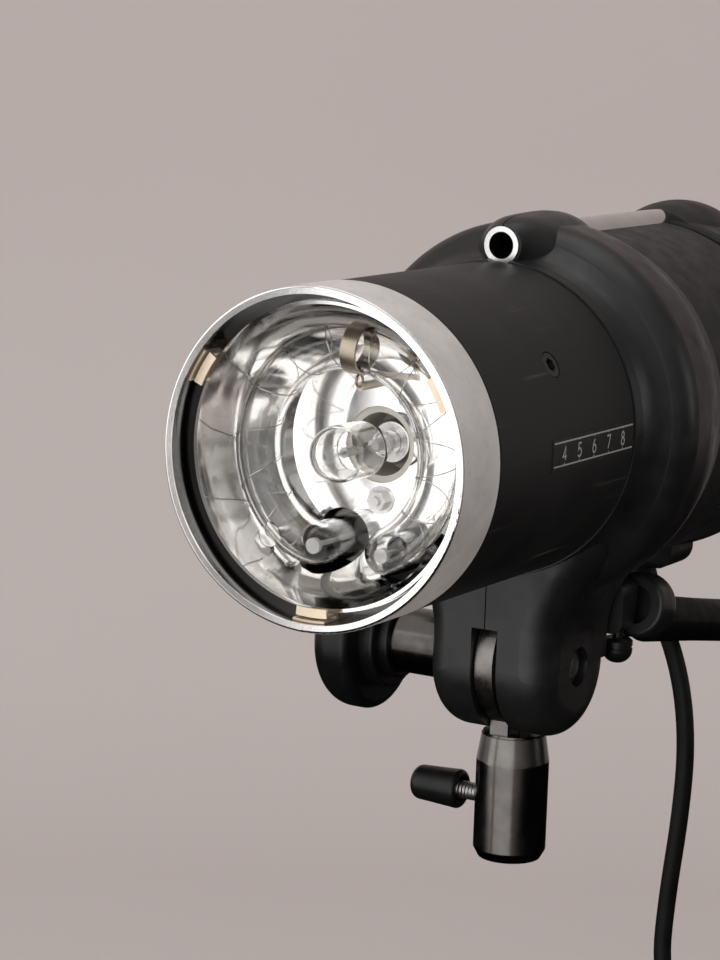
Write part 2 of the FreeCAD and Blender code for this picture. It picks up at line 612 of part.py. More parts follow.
def yoke():
    """Two mirrored castings: a ring round the tube, a neck, and cheeks beside the disc."""
    ring = turned("yoke_ring", "Y", [
        ("ring_front", "yoke_bore"), ("ring_front", "tube_radius + 0.6"),
        ("ring_front + 9", "52.2"), ("ring_front + 16.5", "crest_radius"),
        ("ring_front + 36", "crest_radius - 0.2"), ("ring_rear - 0.2", "shell_radius + 0.4"),
        ("ring_rear - 0.2", "yoke_bore"),
    ], [(2, "15"), (3, "12"), (4, "30")])
    boss = fixed("yoke_boss", saddle([
        (size("umbrella_front + 0.8"), 54.8, 6.7), (120, 51, 12.6), (130, 46, 18.1),
        (146, 46, 18.1), (159, 47, 11.5),
    ]))
    upper, foot = neck_shape()
    lobe = turned("yoke_lobe", "X", [
        ("-cheek_half", "0"), ("-cheek_half", "cheek_radius"), ("cheek_half", "cheek_radius"),
        ("cheek_half", "0"),
    ], [(1, "9.6"), (2, "9.6")], seat="tilt")
    cheeks = common("yoke_cheeks", fixed("yoke_foot", foot), lobe)
    blank = fuse("yoke_blank", ring, boss, fixed("yoke_neck", upper), cheeks)
    tools = [
        rod("yoke_tube_hole", "yoke_bore", "70", (0, "100", 0)),
        rod("yoke_disc_pocket", "disc_radius + 0.4", "2 * slot_half", ("-slot_half", 0, 0),
            ALONG_X, "tilt"),
        rod("yoke_umbrella_hole", "umbrella_radius + 0.02", "70",
            (0, "100", "umbrella_height")),
        block("yoke_slot", ("-slot_half", "slot_half"), ("-40", "40"), ("-40", "slot_top"),
              seat="tilt"),
        rod("yoke_sleeve_seat", "sleeve_radius + 0.5", "10", ("-cheek_half - 10", 0, 0),
            ALONG_X, "tilt"),
        rod("yoke_bolt_hole", "bolt_radius + running_gap", "60", ("-30", 0, 0), ALONG_X, "tilt"),
        rod("yoke_nut_recess", "6.5", "12", ("cheek_half - 7", 0, 0), ALONG_X, "tilt"),
    ]
    whole = blank
    for i, tool in enumerate(tools, 1):
        whole = cut("yoke_cut_%d" % i, whole, tool)
    for word, side in (("left", ("-80", "-seam_half")), ("right", ("seam_half", "80"))):
        half = block("yoke_side_" + word, side, ("60", "200"), ("-120", "80"))
        node(common("yoke_" + word + "_half", whole, half), "yoke_" + word)


def umbrella_tube():
    node(hollow_rod("umbrella", "umbrella_radius", "umbrella_bore",
                    "umbrella_end - umbrella_front", (0, "umbrella_front", "umbrella_height")),
         "umbrella_tube")


# ---------------------------------------------------------------- friction joint and stand

def friction_joint():
    bore = "bolt_radius + running_gap"
    disc = rod("disc", "disc_radius", "disc_right - disc_left", ("disc_left", 0, 0),
               ALONG_X, "tilt")
    stem = block("disc_stem", ("disc_left", "disc_right"), (-9, 9),
                 ("socket_height", "socket_height + 8"), "stand")
    pin = rod("disc_pin", "4.5", "8", (-1, 0, "socket_height - 8"), ALONG_Z, "stand")
    hole = rod("disc_bore", bore, "20", (-10, 0, 0), ALONG_X, "tilt")
    node(cut("tilt_disc_shape", fuse("disc_blank", disc, stem, pin), hole), "tilt_disc")
    for word, start, end in (("left", "-slot_half", "disc_left"),
                             ("right", "disc_right", "slot_half")):
        node(hollow_rod("washer_" + word, "washer_radius", bore, "%s - (%s)" % (end, start),
                        (start, 0, 0), ALONG_X, "tilt"), "friction_washer_" + word)
    node(hollow_rod("sleeve", "sleeve_radius", bore, "-cheek_half - sleeve_end",
                    ("sleeve_end", 0, 0), ALONG_X, "tilt"), "clamp_sleeve")
    nut = hexagon("nut_body", "11", "4.5", ("cheek_half - 7", 0, 0), ALONG_X, "tilt")
    node(cut("nut", nut, rod("nut_bore", bore, "8", ("cheek_half - 8", 0, 0), ALONG_X, "tilt")),
         "clamp_nut")


def tilt_knob():
    """A mushroom knob, and the bolt that it turns."""
    face = "sleeve_end - 0.2"
    outline = [
        (face, "bolt_radius"), (face, "13.2"), ("sleeve_end - 3.7", "13.2"),
        ("sleeve_end - 3.7", "17"), ("sleeve_end - 9", "17"), ("sleeve_end - 9", "knob_radius"),
        ("knob_end", "knob_radius"), ("knob_end", "0"), ("knob_end + 5", "0"),
        ("knob_end + 5", "bolt_radius"),
    ]
    node(turned("knob", "X", outline, [(1, "0.8"), (3, "1.2"), (5, "3"), (6, "9")], seat="tilt"),
         "tilt_knob")
    node(rod("bolt", "bolt_radius", "cheek_half - 2 - knob_end - 5", ("knob_end + 5", 0, 0),
             ALONG_X, "tilt"), "clamp_bolt")


def stand_socket():
    outline = [
        (0, "spigot_radius"), (0, "10.4"), (3, "socket_radius"), ("33", "socket_radius"),
        ("socket_height - 0.8", "10.7"), ("socket_height - 0.8", "10.2"),
        ("socket_height", "10.2"), ("socket_height", "0"), ("spigot_depth", "0"),
        ("spigot_depth", "spigot_radius"),
    ]
    body = turned("socket_body", "Z", outline, [(2, "1.2"), (3, "4")], seat="stand")
    pin = rod("socket_pin_hole", "4.5", "9", (-1, 0, "socket_height - 8"), ALONG_Z, "stand")
    hole = rod("socket_stud_hole", "stud_radius + running_gap", "8",
               ("-socket_radius - 1", 0, "thumb_height"), ALONG_X, "stand")
    node(cut("socket", body, pin, hole), "stand_socket")


def thumb_screw():
    """The screw that clamps the spigot: a brass pad, a threaded stud and a turned knob."""
    tip = "-spigot_radius - 0.5"
    pad = rod("pad", "2.6", "1.8", ("-spigot_radius - 2.3", 0, "thumb_height"), ALONG_X,
              "stand")
    node(pad, "pressure_pad")
    start = "-socket_radius - thumb_gap"
    stud = rod("stud", "stud_radius", "-spigot_radius - 2.3 - (%s) + 1.5" % start,
               (start + " - 1.5", 0, "thumb_height"), ALONG_X, "stand")
    node(stud, "thumb_stud")
    outline = [
        (-1.5, "0"), (-1.5, "stud_radius + 0.6"), (0, "stud_radius + 1.6"), (0, "6.7"),
        (-18, "5.7"), (-18, "0"),
    ]
    node(turned("thumb_knob_shape", "X", outline, [(3, "1.5"), (4, "3")], seat="stand",
                where=(start, 0, "thumb_height")), "thumb_knob")


# ---------------------------------------------------------------- handle

LOCK = (22, 164.8)


def handle():
    """A round grip that points back and down, on a cupped boss behind the yoke."""
    side, start, drop = "handle_side", "handle_start", "handle_drop"
    lean = Rotation(Vector(1, 0, 0), -size("handle_slope"))
    grip = turned("grip", "Y", [
        ("10", "0"), ("10", "handle_radius"), ("50", "handle_radius - 0.6"),
        ("handle_length", "handle_radius - 0.6"), ("handle_length", "0"),
    ], [(3, "5")], where=(side, start, "handle_drop - handle_step"), turn=lean)
    node(grip, "handle_grip")
    arm = block("bracket_block", ("handle_side - 10.5", "handle_side + 1.5"),
                ("rim_ahead + cheek_radius", "handle_start + 6"), ("-75.4", "-58.2"))
    rounded = doc.addObject("Part::Fillet", "bracket_rounded")
    rounded.Base = arm
    doc.recompute()
    rounded.Edges = [
        (i, 4.0, 4.0) for i, edge in enumerate(arm.Shape.Edges, 1)
        if abs(edge.Vertexes[0].Y - edge.Vertexes[-1].Y) > 1
    ]
    boss = turned("bracket_boss", "Y", [
        ("0", "0"), ("0", "10.8"), ("7", "11.2"), ("13", "11.2"), ("13", "0"),
    ], [(1, "1.5"), (3, "4")], where=(side, start, drop), turn=lean)
    cup = place(rod("bracket_cup", "6.6", "7", (0, 0, 0)),
                (side, "handle_start - 1", "handle_drop + 0.3"), lean * ALONG_Y)
    bore = place(rod("bracket_bore", "handle_radius", "30", (0, 0, 0)),
                 (side, "handle_start + 9.2", "handle_drop - handle_step - 1.7"), lean * ALONG_Y)
    screw = rod("bracket_screw_hole", "2.05", "8", (LOCK[0], LOCK[1], "-79"), ALONG_Z)
    node(cut("bracket", fuse("bracket_blank", rounded, boss), cup, bore, screw),
         "handle_bracket")
    knob = turned("lock", "Z", [
        ("-86", "0"), ("-86", "5.1"), ("-81", "5.1"), ("-81", "4.4"), ("-80", "4.4"),
        ("-80", "5.1"), ("-78.4", "5.1"), ("-77.4", "4"), ("-77.4", "2"), ("-72.5", "2"),
        ("-72.5", "0"),
    ], [(1, "4.6")], where=(LOCK[0], LOCK[1], 0))
    node(knob, "handle_lock_knob")


# ---------------------------------------------------------------- cable

GLAND_LEAN = 28


def cable_block():
    """The housing under the rear cap that the cable comes out of."""
    body = block("block_body", ("block_left", "block_right"),
                 ("cap_start + 1.5", "cable_depth + 11"), ("block_bottom", "-48"))
    rounded = doc.addObject("Part::Fillet", "block_rounded")
    rounded.Base = body
    doc.recompute()
    bottom = size("block_bottom + head_height")
    rounded.Edges = [
        (i, 7.0, 7.0) if abs(edge.Vertexes[0].X - edge.Vertexes[-1].X) < 1 else (i, 3.0, 3.0)
        for i, edge in enumerate(body.Shape.Edges, 1)
        if all(abs(v.Z - bottom) < 0.01 for v in edge.Vertexes)
    ]
    around = rod("block_cap_space", "cap_radius + 0.1", "40", (0, "cap_start", 0))
    hole = rod("block_cable_hole", "cable_radius + 2.4", "8",
               ("cable_side", "cable_depth", "block_bottom - 1"), ALONG_Z)
    node(cut("cable_housing", rounded, around, hole), "cable_block")
    outline = [
        (2, "cable_radius + 0.1"), (2, "cable_radius + 1.3"), (0, "cable_radius + 1.3"),
        (0, "cable_radius + 1.8"), (-2.5, "cable_radius + 1.8"), (-8, "cable_radius + 0.9"),
        (-8, "cable_radius + 0.1"),
    ]
    node(turned("gland", "Z", outline, where=("cable_side", "cable_depth", "block_bottom"),
                turn=Rotation(Vector(0, 1, 0), -GLAND_LEAN)), "cable_gland")


# The cable's route in its vertical plane, as X and Z from the front rim's middle and, last, Y.
CABLE_ROUTE = [
    (-4.5, -64.6, 235), (6.8, -85.8, 235), (15, -106, 235), (18.6, -130, 235),
    (17.5, -157, 235), (14.2, -186, 235), (12.6, -214, 235), (20.3, -231.4, 234),
    (34.6, -243.9, 231.4),
]
TAIL_ROUTE = [(34.6, -323.5, 238.6), (20.3, -336, 236), (12.6, -353.4, 235), (12.6, -372, 235)]
COIL_CENTRE = (0, 235, -283.7)


def route_wire(route):
    """Straight runs joined by tangent arcs as large as the shorter run allows."""
    points = [Vector(x, y, z) for x, z, y in route]
    edges, start, radii = [], points[0], []
    for before, here, after in zip(points, points[1:], points[2:]):
        back, on = before - here, after - here
        turn = math.pi - back.getAngle(on)
        reach = 0.45 * min(back.Length, on.Length)
        radius = reach / math.tan(turn / 2)
        enter = here + back.normalize() * reach
        leave = here + on.normalize() * reach
        inward = (back + on).normalize()
        middle = here + inward * (radius / math.cos(turn / 2) - radius)
        edges += [Part.LineSegment(start, enter).toShape(),
                  Part.Arc(enter, middle, leave).toShape()]
        radii.append(radius)
        start = leave
    edges.append(Part.LineSegment(start, points[-1]).toShape())
    print("bend radii:", ", ".join("%.0f" % radius for radius in radii))
    return Part.Wire(edges)


def cord(name, route):
    wire = route_wire(route)
    radius = size("cable_radius")
    tube = swept(wire, radius)
    expected = math.pi * radius ** 2 * wire.Length
    print("%s: length %.1f, volume share %.4f" % (name, wire.Length, tube.Volume / expected))
    node(fixed(name + "_shape", tube), name)


def cable():
    cord("cable_run", CABLE_ROUTE)
    x, y, z = COIL_CENTRE
    coil = turned("coil", "Y", [
        ("-coil_half", "coil_radius - coil_half"), ("-coil_half", "coil_radius + coil_half"),
        ("coil_half", "coil_radius + coil_half"), ("coil_half", "coil_radius - coil_half"),
    ], [(0, "6"), (1, "6"), (2, "6"), (3, "6")], where=(x, y, z))
    node(coil, "cable_coil")
    cord("cable_tail", TAIL_ROUTE)
    band = block("tie_outer", (x + 25.5, x + 57.4), (y - 15.4, y + 15.4), (z - 8, z + 8))
    space = block("tie_space", (x + 27, x + 55.9), (y - 13.9, y + 13.9), (z - 9, z + 9))
    node(cut("tie", band, space), "coil_tie")
    plug = turned("plug", "Z", [
        ("-442", "0"), ("-442", "15"), ("-420", "15"), ("-420", "18"), ("-414", "18"),
        ("-414", "15.5"), ("-390", "14"), ("-372", "6"), ("-372", "0"),
    ], [(3, "1"), (4, "1"), (6, "5")], where=(TAIL_ROUTE[-1][0], TAIL_ROUTE[-1][2], 0))
    node(plug, "lamp_plug")


front_collar()
body_tube()
scale_plate()
rear_shell()
rear_cap()
rear_panel()
fan()
rear_controls()
reflector()
cover_clips()
flash_tube()
tube_clip()
modelling_lamp()
inner_works()
yoke()
umbrella_tube()
friction_joint()
tilt_knob()
stand_socket()
thumb_screw()
handle()
cable_block()
cable()

doc.recompute()
broken = [o.Label for o in doc.Objects if {"Invalid", "Error"} & set(o.State)]
broken += [o.Label for o in nodes if o.Shape.isNull() or not o.Shape.isValid()]
if broken:
    raise RuntimeError("not built: " + ", ".join(broken))
os.makedirs("parts", exist_ok=True)
for piece in nodes:
    piece.Shape.exportStep("parts/%s.step" % piece.Label)
print(len(nodes), "parts")
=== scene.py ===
import bpy
import json
import math
from mathutils import Euler, Matrix, Vector


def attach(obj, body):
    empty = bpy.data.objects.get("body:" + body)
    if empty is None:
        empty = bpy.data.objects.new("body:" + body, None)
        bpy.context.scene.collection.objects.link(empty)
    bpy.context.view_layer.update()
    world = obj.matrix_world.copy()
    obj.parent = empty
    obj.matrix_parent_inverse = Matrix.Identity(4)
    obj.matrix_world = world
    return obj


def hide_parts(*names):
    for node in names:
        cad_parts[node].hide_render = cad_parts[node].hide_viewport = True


# A studio flash head on its stand socket.  Metres, in the CAD's frame: the origin is the mouth of
# the stand socket, +Z is up and the head points to -Y.

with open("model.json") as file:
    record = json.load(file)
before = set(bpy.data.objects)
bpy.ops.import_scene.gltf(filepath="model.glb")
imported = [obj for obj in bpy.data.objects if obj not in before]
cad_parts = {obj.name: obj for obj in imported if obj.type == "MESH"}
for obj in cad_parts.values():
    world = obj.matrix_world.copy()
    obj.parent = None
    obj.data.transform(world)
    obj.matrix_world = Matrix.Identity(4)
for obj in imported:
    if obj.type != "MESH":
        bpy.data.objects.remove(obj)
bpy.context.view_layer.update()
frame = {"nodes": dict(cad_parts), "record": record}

MM = 0.001
RIM = Vector((0, -135, 149.5))          # middle of the front rim, in mm
nodes = frame["nodes"]
scene = bpy.context.scene
scene.view_settings.view_transform = "Standard"


def head(x, y, z):
    """A point of the head, given in mm from the middle of the front rim."""
    return (RIM + Vector((x, y, z))) * MM


# ------------------------------------------------------------------ camera

CAMERA_PLACE = (0.41689, -0.81825, 0.28081)
CAMERA_TURN = (80.330, -1.908, 30.672)           # degrees: pitch, roll and heading
LENS, SENSOR = 107.16, 36


def make_camera():
    data = bpy.data.cameras.new("camera")
    data.lens = LENS
    data.sensor_width = SENSOR
    data.sensor_fit = "AUTO"
    data.clip_start, data.clip_end = 0.01, 20
    camera = bpy.data.objects.new("camera", data)
    scene.collection.objects.link(camera)
    turn = Euler([math.radians(angle) for angle in CAMERA_TURN]).to_matrix().to_4x4()
    camera.matrix_world = Matrix.Translation(CAMERA_PLACE) @ turn
    scene.camera = camera


# ------------------------------------------------------------------ cable

CABLE_WIDTH = 6.4        # mm
# The cable's corners, as X and Z from the front rim's middle and, last, Y, in mm.
CABLE_ROUTE = [
    (-4.5, -64.6, 235), (6.8, -85.8, 235), (15, -106, 235), (18.6, -130, 235),
    (17.5, -157, 235), (14.2, -186, 235), (12.6, -214, 235), (20.3, -231.4, 234),
]
TAIL_ROUTE = [(20.3, -336, 236), (12.6, -353.4, 235), (12.6, -372, 235)]
COIL_CENTRE = Vector((0, 235, -283.7))
COIL_MIDDLE, COIL_PITCH = 42, 6.65
# The order in which the sixteen turns fill a four by four bundle, as (row outwards, column).
TURNS = [
    (3, 1), (3, 0), (2, 0), (1, 0), (0, 0), (0, 1), (1, 1), (2, 1),
    (2, 2), (1, 2), (0, 2), (0, 3), (1, 3), (2, 3), (3, 3), (3, 2),
]
BUNDLE_SIDE = 4
POINTS_A_TURN = 18
FIRST_SHIFT = 2          # points before its end at which the first turn moves over
ENTRY_ANGLE = 49         # degrees to either side of the level on which the cable joins the coil


def coil_points():
    """The coil's turns: each moves to the next place in the bundle a little before the last did."""
    points, middle = [], (BUNDLE_SIDE - 1) / 2
    steps = round((2 * ENTRY_ANGLE / 360 + len(TURNS) - 1) * POINTS_A_TURN)
    for step in range(steps + 1):
        turn, within = divmod(step, POINTS_A_TURN)
        moved = within >= POINTS_A_TURN - FIRST_SHIFT - turn
        row, column = TURNS[min(turn + moved, len(TURNS) - 1)]
        angle = math.radians(ENTRY_ANGLE - step * 360 / POINTS_A_TURN)
        radius = COIL_MIDDLE + (row - middle) * COIL_PITCH
        points.append(COIL_CENTRE + Vector((
            radius * math.cos(angle), (column - middle) * COIL_PITCH, radius * math.sin(angle))))
    return points


def make_cable():
    start = [Vector((x, y, z)) for x, z, y in CABLE_ROUTE]
    end = [Vector((x, y, z)) for x, z, y in TAIL_ROUTE]
    points = start + coil_points() + end
    curve = bpy.data.curves.new("lead", "CURVE")
    curve.dimensions = "3D"
    curve.bevel_depth = CABLE_WIDTH / 2 * MM
    curve.bevel_resolution = 4
    curve.resolution_u = 6
    spline = curve.splines.new("NURBS")
    spline.points.add(len(points) - 1)
    for target, point in zip(spline.points, points):
        target.co = (*head(*point), 1)
    spline.order_u = 3
    spline.use_endpoint_u = True
    lead = bpy.data.objects.new("lead", curve)
    scene.collection.objects.link(lead)
    curve.materials.append(materials["cable_rubber"])
    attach(lead, "head")
    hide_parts("cable_run", "cable_coil", "cable_tail")


# ------------------------------------------------------------------ materials

def new_material(name):
    material = bpy.data.materials.new(name)
    material.use_nodes = True
    tree = material.node_tree
    return material, tree, tree.nodes["Principled BSDF"]


def link(tree, a, b):
    tree.links.new(a, b)


def coordinates(tree, scale=(1, 1, 1)):
    """Object coordinates, so that a pattern stays on its piece."""
    coord = tree.nodes.new("ShaderNodeTexCoord")
    mapping = tree.nodes.new("ShaderNodeMapping")
    mapping.inputs["Scale"].default_value = scale
    link(tree, coord.outputs["Object"], mapping.inputs["Vector"])
    return mapping.outputs["Vector"]


def noise(tree, scale, detail=4, rough=0.55, stretch=(1, 1, 1)):
    node = tree.nodes.new("ShaderNodeTexNoise")
    node.inputs["Scale"].default_value = scale
    node.inputs["Detail"].default_value = detail
    node.inputs["Roughness"].default_value = rough
    link(tree, coordinates(tree, stretch), node.inputs["Vector"])
    return node.outputs["Fac"]


def spread(tree, value, low, high, start=0.3, end=0.7):
    """Map a pattern's middle range onto a range of values."""
    node = tree.nodes.new("ShaderNodeMapRange")
    node.inputs["From Min"].default_value = start
    node.inputs["From Max"].default_value = end
    node.inputs["To Min"].default_value = low
    node.inputs["To Max"].default_value = high
    link(tree, value, node.inputs["Value"])
    return node.outputs["Result"]


def mixed(tree, factor, first, second):
    """Two colours, or one colour output and a colour, mixed by a factor output."""
    node = tree.nodes.new("ShaderNodeMix")
    node.data_type = "RGBA"
    link(tree, factor, node.inputs["Factor"])
    for socket, colour in ((node.inputs[6], first), (node.inputs[7], second)):
        if isinstance(colour, tuple):
            socket.default_value = (*colour, 1)
        else:
            link(tree, colour, socket)
    return node.outputs[2]


def times(tree, first, second):
    node = tree.nodes.new("ShaderNodeMath")
    node.operation = "MULTIPLY"
    link(tree, first, node.inputs[0])
    link(tree, second, node.inputs[1])
    return node.outputs["Value"]


def bump(tree, shader, value, distance, strength=1.0):
    node = tree.nodes.new("ShaderNodeBump")
    node.inputs["Distance"].default_value = distance * MM
    node.inputs["Strength"].default_value = strength
    link(tree, value, node.inputs["Height"])
    link(tree, node.outputs["Normal"], shader.inputs["Normal"])


def plain(name, dark, light, rough, metal=0.0, gloss=0.5, scale=90, grain=0.03,
          grain_scale=1500, stretch=(1, 1, 1), wear=0.08):
    """A finish with soft mottling in colour and gloss, and a fine grain."""
    material, tree, shader = new_material(name)
    mottle = noise(tree, scale, stretch=stretch)
    link(tree, mixed(tree, spread(tree, mottle, 0, 1), dark, light), shader.inputs["Base Color"])
    link(tree, spread(tree, noise(tree, scale * 1.7), rough - wear, rough + wear),
         shader.inputs["Roughness"])
    shader.inputs["Metallic"].default_value = metal
    shader.inputs["Specular IOR Level"].default_value = gloss
    bump(tree, shader, noise(tree, grain_scale, 2, stretch=stretch), grain)
    return material


def shade(level, warmth=0.0):
    """A near-neutral colour, warmer for a positive warmth."""
    return (level * (1 + warmth), level, level * (1 - warmth))


EDGE_START, EDGE_END = 0.2, 0.7          # mm behind the rim, where the polish gives way to satin
WALL_START, WALL_END = 49.3, 49.6        # mm from the axis, between inner wall and outside


def collar_zones(tree):
    """Two outputs from 0 to 1: behind the polished front edge, and outside the inner wall."""
    split = tree.nodes.new("ShaderNodeSeparateXYZ")
    link(tree, coordinates(tree), split.inputs["Vector"])
    behind = spread(tree, split.outputs["Y"], 0, 1, (RIM.y + EDGE_START) * MM,
                    (RIM.y + EDGE_END) * MM)
    flat = tree.nodes.new("ShaderNodeCombineXYZ")
    link(tree, split.outputs["X"], flat.inputs["X"])
    link(tree, split.outputs["Z"], flat.inputs["Z"])
    from_axis = tree.nodes.new("ShaderNodeVectorMath")
    from_axis.operation = "DISTANCE"
    link(tree, flat.outputs["Vector"], from_axis.inputs[0])
    from_axis.inputs[1].default_value = (0, 0, RIM.z * MM)
    outside = spread(tree, from_axis.outputs["Value"], 0, 1, WALL_START * MM, WALL_END * MM)
    return behind, outside


def collar_steel():
    """Satin steel smudged by handling, with a polished front edge and painted shade on the inner
    wall.
    """
    material, tree, shader = new_material("collar_steel")
    smudge = noise(tree, 60, 6, 0.62)
    spots = noise(tree, 260, 3, 0.6)
    colour = mixed(tree, spread(tree, smudge, 0, 1, 0.35, 0.68), shade(0.78, 0.03),
                   shade(0.92, 0.02))
    colour = mixed(tree, spread(tree, spots, 0, 0.3, 0.55, 0.75), colour, shade(0.6, 0.05))
    behind, outside = collar_zones(tree)
    satin = times(tree, behind, outside)
    # Inside the wall the dark steel colour is painted shade, standing for the shaded gap between
    # rim and dish.
    polished = mixed(tree, behind, shade(0.88, 0.01), shade(0.10, 0.02))
    link(tree, mixed(tree, outside, polished, colour), shader.inputs["Base Color"])
    link(tree, times(tree, spread(tree, satin, 0.3, 1, 0, 1),
                     spread(tree, smudge, 0.42, 0.54)), shader.inputs["Roughness"])
    link(tree, spread(tree, satin, 1, 0.5, 0, 1), shader.inputs["Metallic"])
    bump(tree, shader, noise(tree, 900, 3, stretch=(1, 0.08, 1)), 0.005)
    return material


def tube_paint():
    """Matt charcoal paint with long faint scratches."""
    material, tree, shader = new_material("tube_black")
    mottle = noise(tree, 35, 5)
    scratch = noise(tree, 420, 2, 0.5, (1, 0.05, 1))
    colour = mixed(tree, spread(tree, mottle, 0, 1), shade(0.008), shade(0.012, 0.02))
    colour = mixed(tree, spread(tree, scratch, 0, 0.5, 0.66, 0.78), colour, shade(0.08, 0.05))
    link(tree, colour, shader.inputs["Base Color"])
    link(tree, spread(tree, mottle, 0.46, 0.56), shader.inputs["Roughness"])
    shader.inputs["Specular IOR Level"].default_value = 0.4
    bump(tree, shader, noise(tree, 2600, 2), 0.008)
    return material


def dish_mirror():
    """Polished reflector metal with a slight haze."""
    material, tree, shader = new_material("dish_mirror")
    haze = noise(tree, 70, 5)
    link(tree, mixed(tree, spread(tree, haze, 0, 1), shade(0.86, 0.012), shade(0.93, 0.008)),
         shader.inputs["Base Color"])
    link(tree, spread(tree, haze, 0.05, 0.11), shader.inputs["Roughness"])
    shader.inputs["Metallic"].default_value = 1.0
    bump(tree, shader, noise(tree, 50, 1), 0.004)
    return material


BANDS_AT_ONE = 10        # a wave texture's bands in each length of pi, at scale 1


def threaded(name, axis, pitch):
    """Bright steel cut with a thread along one axis of the piece."""
    material, tree, shader = new_material(name)
    wear = noise(tree, 120)
    link(tree, mixed(tree, spread(tree, wear, 0, 1), shade(0.42, 0.02), shade(0.6, 0.02)),
         shader.inputs["Base Color"])
    link(tree, spread(tree, wear, 0.25, 0.4), shader.inputs["Roughness"])
    shader.inputs["Metallic"].default_value = 1.0
    ridges = tree.nodes.new("ShaderNodeTexWave")
    ridges.bands_direction = axis
    ridges.inputs["Scale"].default_value = math.pi / (BANDS_AT_ONE * pitch * MM)
    ridges.inputs["Detail"].default_value = 0
    link(tree, coordinates(tree), ridges.inputs["Vector"])
    bump(tree, shader, ridges.outputs["Fac"], 0.35)
    return material


def glass(name, tint, rough):
    """Clear tube or bulb glass; light passes straight through it."""
    material, tree, shader = new_material(name)
    film = noise(tree, 180, 4)
    link(tree, mixed(tree, spread(tree, film, 0, 1), tint, (1, 1, 1)),
         shader.inputs["Base Color"])
    link(tree, spread(tree, film, rough, rough + 0.06), shader.inputs["Roughness"])
    shader.inputs["Transmission Weight"].default_value = 1.0
    shader.inputs["IOR"].default_value = 1.47
    return material


materials = {
    "collar_steel": collar_steel(),
    "tube_black": tube_paint(),
    "scale_print": plain("scale_print", shade(0.010, 0.05), shade(0.015, 0.05), 0.5, gloss=0.4),
    "shell_black": plain("shell_black", shade(0.008), shade(0.013, 0.02), 0.5, gloss=0.35,
                         grain=0.012),
    "panel_grey": plain("panel_grey", shade(0.03), shade(0.045), 0.6, gloss=0.4),
    "screw_black": plain("screw_black", shade(0.006), shade(0.012), 0.35, gloss=0.5),
    "moulded_black": plain("moulded_black", shade(0.006), shade(0.010), 0.5, gloss=0.3,
                           grain=0.02),
    "switch_black": plain("switch_black", shade(0.006), shade(0.009), 0.3, grain=0.005),
    "lens_red": plain("lens_red", (0.35, 0.02, 0.015), (0.5, 0.04, 0.02), 0.2, grain=0.002),
    "dish_mirror": dish_mirror(),
    "bright_steel": plain("bright_steel", shade(0.5, 0.02), shade(0.66, 0.02), 0.26, metal=1.0,
                          grain=0.004, wear=0.05),
    "clip_cream": plain("clip_cream", (0.66, 0.54, 0.40), (0.80, 0.69, 0.54), 0.35, metal=0.7),
    "flash_glass": glass("flash_glass", (0.93, 0.92, 0.90), 0.02),
    "electrode_metal": plain("electrode_metal", shade(0.75), shade(0.85), 0.35, grain=0.003),
    "ceramic_white": plain("ceramic_white", (0.72, 0.68, 0.6), (0.8, 0.77, 0.7), 0.6),
    "clip_metal": plain("clip_metal", (0.30, 0.25, 0.19), (0.46, 0.40, 0.31), 0.35, metal=0.9),
    "lamp_glass": glass("lamp_glass", (0.97, 0.97, 0.96), 0.0),
    "filament_metal": plain("filament_metal", shade(0.35), shade(0.5), 0.4, metal=1.0),
    "inner_metal": plain("inner_metal", shade(0.4), shade(0.5), 0.5, metal=1.0),
    "board_green": plain("board_green", (0.02, 0.12, 0.05), (0.03, 0.17, 0.08), 0.4),
    "yoke_black": plain("yoke_black", shade(0.006), shade(0.010), 0.38, gloss=0.5, grain=0.01,
                        grain_scale=2200),
    "chrome_tube": plain("chrome_tube", shade(0.64, 0.01), shade(0.74, 0.01), 0.14, metal=1.0,
                         grain=0.002, wear=0.04),
    "disc_metal": plain("disc_metal", shade(0.16, 0.04), shade(0.24, 0.04), 0.3, metal=1.0,
                        grain=0.006),
    "washer_black": plain("washer_black", shade(0.006), shade(0.010), 0.6, gloss=0.3),
    "anodised_dark": plain("anodised_dark", shade(0.10, 0.05), shade(0.15, 0.05), 0.2,
                           metal=1.0, grain=0.006, wear=0.04),
    "knob_black": plain("knob_black", shade(0.003), shade(0.006), 0.36, gloss=0.3,
                        grain=0.008),
    "brass_pad": plain("brass_pad", (0.55, 0.38, 0.14), (0.66, 0.48, 0.2), 0.35, metal=1.0),
    "grip_black": plain("grip_black", shade(0.002), shade(0.004), 0.5, gloss=0.06, grain=0.02),
    "cable_rubber": plain("cable_rubber", shade(0.003), shade(0.006), 0.45, gloss=0.18,
                          grain=0.015),
    "tie_black": plain("tie_black", shade(0.012), shade(0.022), 0.9, gloss=0.2, grain=0.1),
    "plug_black": plain("plug_black", shade(0.008), shade(0.013), 0.5, gloss=0.35),
    "print_white": plain("print_white", shade(0.30, 0.03), shade(0.36, 0.03), 0.55,
                         grain=0.002),
    "stud_thread": threaded("stud_thread", "X", 1.25),
}


def paint_nodes():
    """Give each CAD node the material of its slot, and the stud of the thumb screw its thread."""
    for part in frame["record"]["subparts"]:
        mesh = nodes[part["node"]].data
        mesh.materials.clear()
        mesh.materials.append(materials[part["material_slot"]])
    nodes["thumb_stud"].data.materials[0] = materials["stud_thread"]


# ------------------------------------------------------------------ scale print

PLATE_RADIUS, PRINT_LIFT = 50, 0.12
NUMERAL_WIDTH, NUMERAL_HEIGHT, STROKE = 2.3, 4.0, 0.62
FIRST_NUMERAL, NUMERAL_STEP = 61.7, 9.85        # mm behind the rim
PRINT_MIDDLE, LINE_SPACE = 0.2, 7.0
LINE_START, LINE_END, LINE_WIDTH = 55, 108, 0.5
LOW_MARK, HIGH_MARK = 0.8, 0.5


